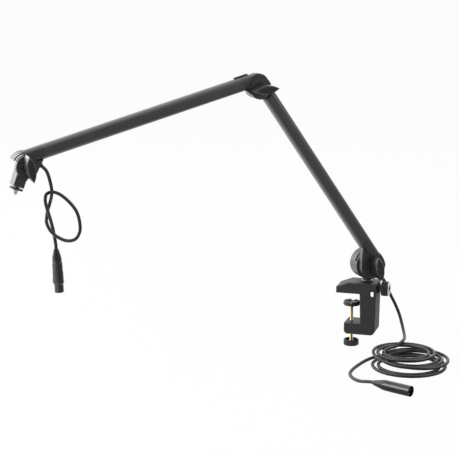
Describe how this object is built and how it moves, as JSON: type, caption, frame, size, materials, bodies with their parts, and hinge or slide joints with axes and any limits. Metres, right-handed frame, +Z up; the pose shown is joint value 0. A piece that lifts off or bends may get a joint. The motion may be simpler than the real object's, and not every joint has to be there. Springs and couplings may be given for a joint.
{
  "type": "desk microphone boom arm",
  "caption": "Folding desk boom arm for a microphone: table clamp, swivel base, friction joints with wing knobs, tilting threaded head and a built-in lead with plugs.",
  "frame": {"origin": "centre line of the clamp spindle at the underside of the upper jaw pad, where the pad rests on the table", "axes": "+Z up out of the table, +X from the jaws to the clamp's spine and lock knob, +Y away from the wing knobs' side; the arm is posed as in the picture"},
  "size_m": [0.714, 0.483, 0.5298],
  "materials": {
    "black_coated_frame": "black powder coat, fine texture",
    "black_painted_casting": "black painted die casting, satin",
    "black_tube": "black coated tube, satin",
    "black_plastic": "moulded black plastic, matte",
    "black_gloss_plastic": "moulded black plastic, smooth",
    "black_rubber": "ribbed black rubber",
    "lead_jacket": "smooth black cord jacket, satin",
    "steel": "turned steel",
    "nickel": "nickel plated",
    "brass": "turned brass",
    "friction_lining": "friction lining, matte",
    "gold_contact": "gold plated contact"
  },
  "bodies": {
    "clamp": {"clamp_frame": "black_coated_frame", "upper_jaw_pad": "black_rubber", "neck_bush": "black_plastic", "base_lead": "lead_jacket", "lead_coil": "lead_jacket", "male_boot": "black_gloss_plastic", "male_shell": "black_gloss_plastic", "male_insert": "black_plastic", "male_pin_1": "gold_contact", "male_pin_2": "gold_contact", "male_pin_3": "gold_contact"},
    "pad": {"pressure_pad": "black_plastic"},
    "clamp_screw": {"clamp_spindle": "brass", "clamp_knob": "black_plastic"},
    "lock_screw_knob": {"lock_screw": "steel", "lock_knob": "black_plastic", "lock_knob_ring": "nickel"},
    "swivel": {"base_pin": "steel", "thrust_washer": "steel", "base_bracket": "black_painted_casting", "base_pivot_bolt": "steel", "base_friction_disc": "friction_lining", "groove_cover": "black_rubber", "lead_clip": "black_plastic"},
    "lower_arm": {"lower_base_casting": "black_painted_casting", "lower_tube": "black_tube", "lower_elbow_casting": "black_painted_casting", "elbow_pivot_bolt": "steel", "elbow_friction_disc": "friction_lining", "lower_lead": "lead_jacket", "base_bridge_lead": "lead_jacket", "base_knob_washer": "steel"},
    "base_knob": {"base_wing_knob": "black_gloss_plastic", "base_knob_insert": "brass"},
    "upper_arm": {"upper_elbow_casting": "black_painted_casting", "upper_tube": "black_tube", "upper_head_casting": "black_painted_casting", "elbow_groove_cover": "black_rubber", "upper_lead": "lead_jacket", "elbow_bridge_lead": "lead_jacket", "head_bridge_lead": "lead_jacket", "head_gland": "black_rubber", "head_lead": "lead_jacket", "female_boot": "black_gloss_plastic", "female_shell": "black_gloss_plastic", "female_insert": "black_plastic", "elbow_knob_washer": "steel", "head_knob_washer": "steel"},
    "elbow_knob": {"elbow_wing_knob": "black_gloss_plastic", "elbow_knob_insert": "brass"},
    "head_knob": {"head_wing_knob": "black_gloss_plastic", "head_knob_insert": "brass"},
    "latch": {"latch_button": "steel"},
    "head": {"head_bracket": "black_painted_casting", "mic_stud": "brass", "head_friction_disc": "friction_lining", "head_pivot_bolt": "steel"},
    "lock_ring": {"stud_lock_ring": "black_painted_casting"}
  },
  "joints": [
    {"name": "swivel_turn", "type": "hinge", "parent": "clamp", "child": "swivel", "pos_m": [0.0285, 0, 0.04], "axis": [0, 0, 1], "range_deg": [-150, 150], "deforming": ["base_lead"]},
    {"name": "base_tilt", "type": "hinge", "parent": "swivel", "child": "lower_arm", "pos_m": [0.0362, -0.00985, 0.0565], "axis": [0.6157, -0.788, 0], "range_deg": [-44, 26], "deforming": ["base_bridge_lead"]},
    {"name": "elbow_fold", "type": "hinge", "parent": "lower_arm", "child": "upper_arm", "pos_m": [-0.14432, -0.15088, 0.39898], "axis": [0.6157, -0.788, 0], "range_deg": [-66, 50], "deforming": ["elbow_bridge_lead"]},
    {"name": "head_tilt", "type": "hinge", "parent": "upper_arm", "child": "head", "pos_m": [-0.47647, -0.41039, 0.28367], "axis": [-0.6157, 0.788, 0], "range_deg": [-15, 60]},
    {"name": "lock_ring_turn", "type": "hinge", "parent": "head", "child": "lock_ring", "pos_m": [-0.49667, -0.40758, 0.24361], "axis": [-0.263, -0.2055, -0.9426], "continuous": true},
    {"name": "base_knob_turn", "type": "hinge", "parent": "lower_arm", "child": "base_knob", "pos_m": [0.04851, -0.02561, 0.0565], "axis": [0.6157, -0.788, 0], "range_deg": [-180, 180]},
    {"name": "elbow_knob_turn", "type": "hinge", "parent": "upper_arm", "child": "elbow_knob", "pos_m": [-0.132, -0.16664, 0.39898], "axis": [0.6157, -0.788, 0], "range_deg": [-180, 180]},
    {"name": "head_knob_turn", "type": "hinge", "parent": "upper_arm", "child": "head_knob", "pos_m": [-0.46416, -0.42615, 0.28367], "axis": [0.6157, -0.788, 0], "range_deg": [-180, 180]},
    {"name": "lock_knob_turn", "type": "hinge", "parent": "clamp", "child": "lock_screw_knob", "pos_m": [0.06, 0, 0.0095], "axis": [1, 0, 0], "range_deg": [-180, 180]},
    {"name": "pad_travel", "type": "slide", "parent": "clamp", "child": "pad", "axis": [0, 0, 1], "range_m": [-0.0285, 0.0147]},
    {"name": "screw_turn", "type": "hinge", "parent": "pad", "child": "clamp_screw", "pos_m": [0, 0, -0.06], "axis": [0, 0, 1], "range_deg": [-10440, 5400]},
    {"name": "latch_press", "type": "slide", "parent": "upper_arm", "child": "latch", "axis": [0.7869, 0.6148, 0.0519], "range_m": [0, 0.0015], "stiffness_N_per_m": 800, "springref_m": -0.0004}
  ],
  "couplings": [
    {"joint": "screw_turn", "follows": "pad_travel", "rad_per_m": 6283.2}
  ]
}
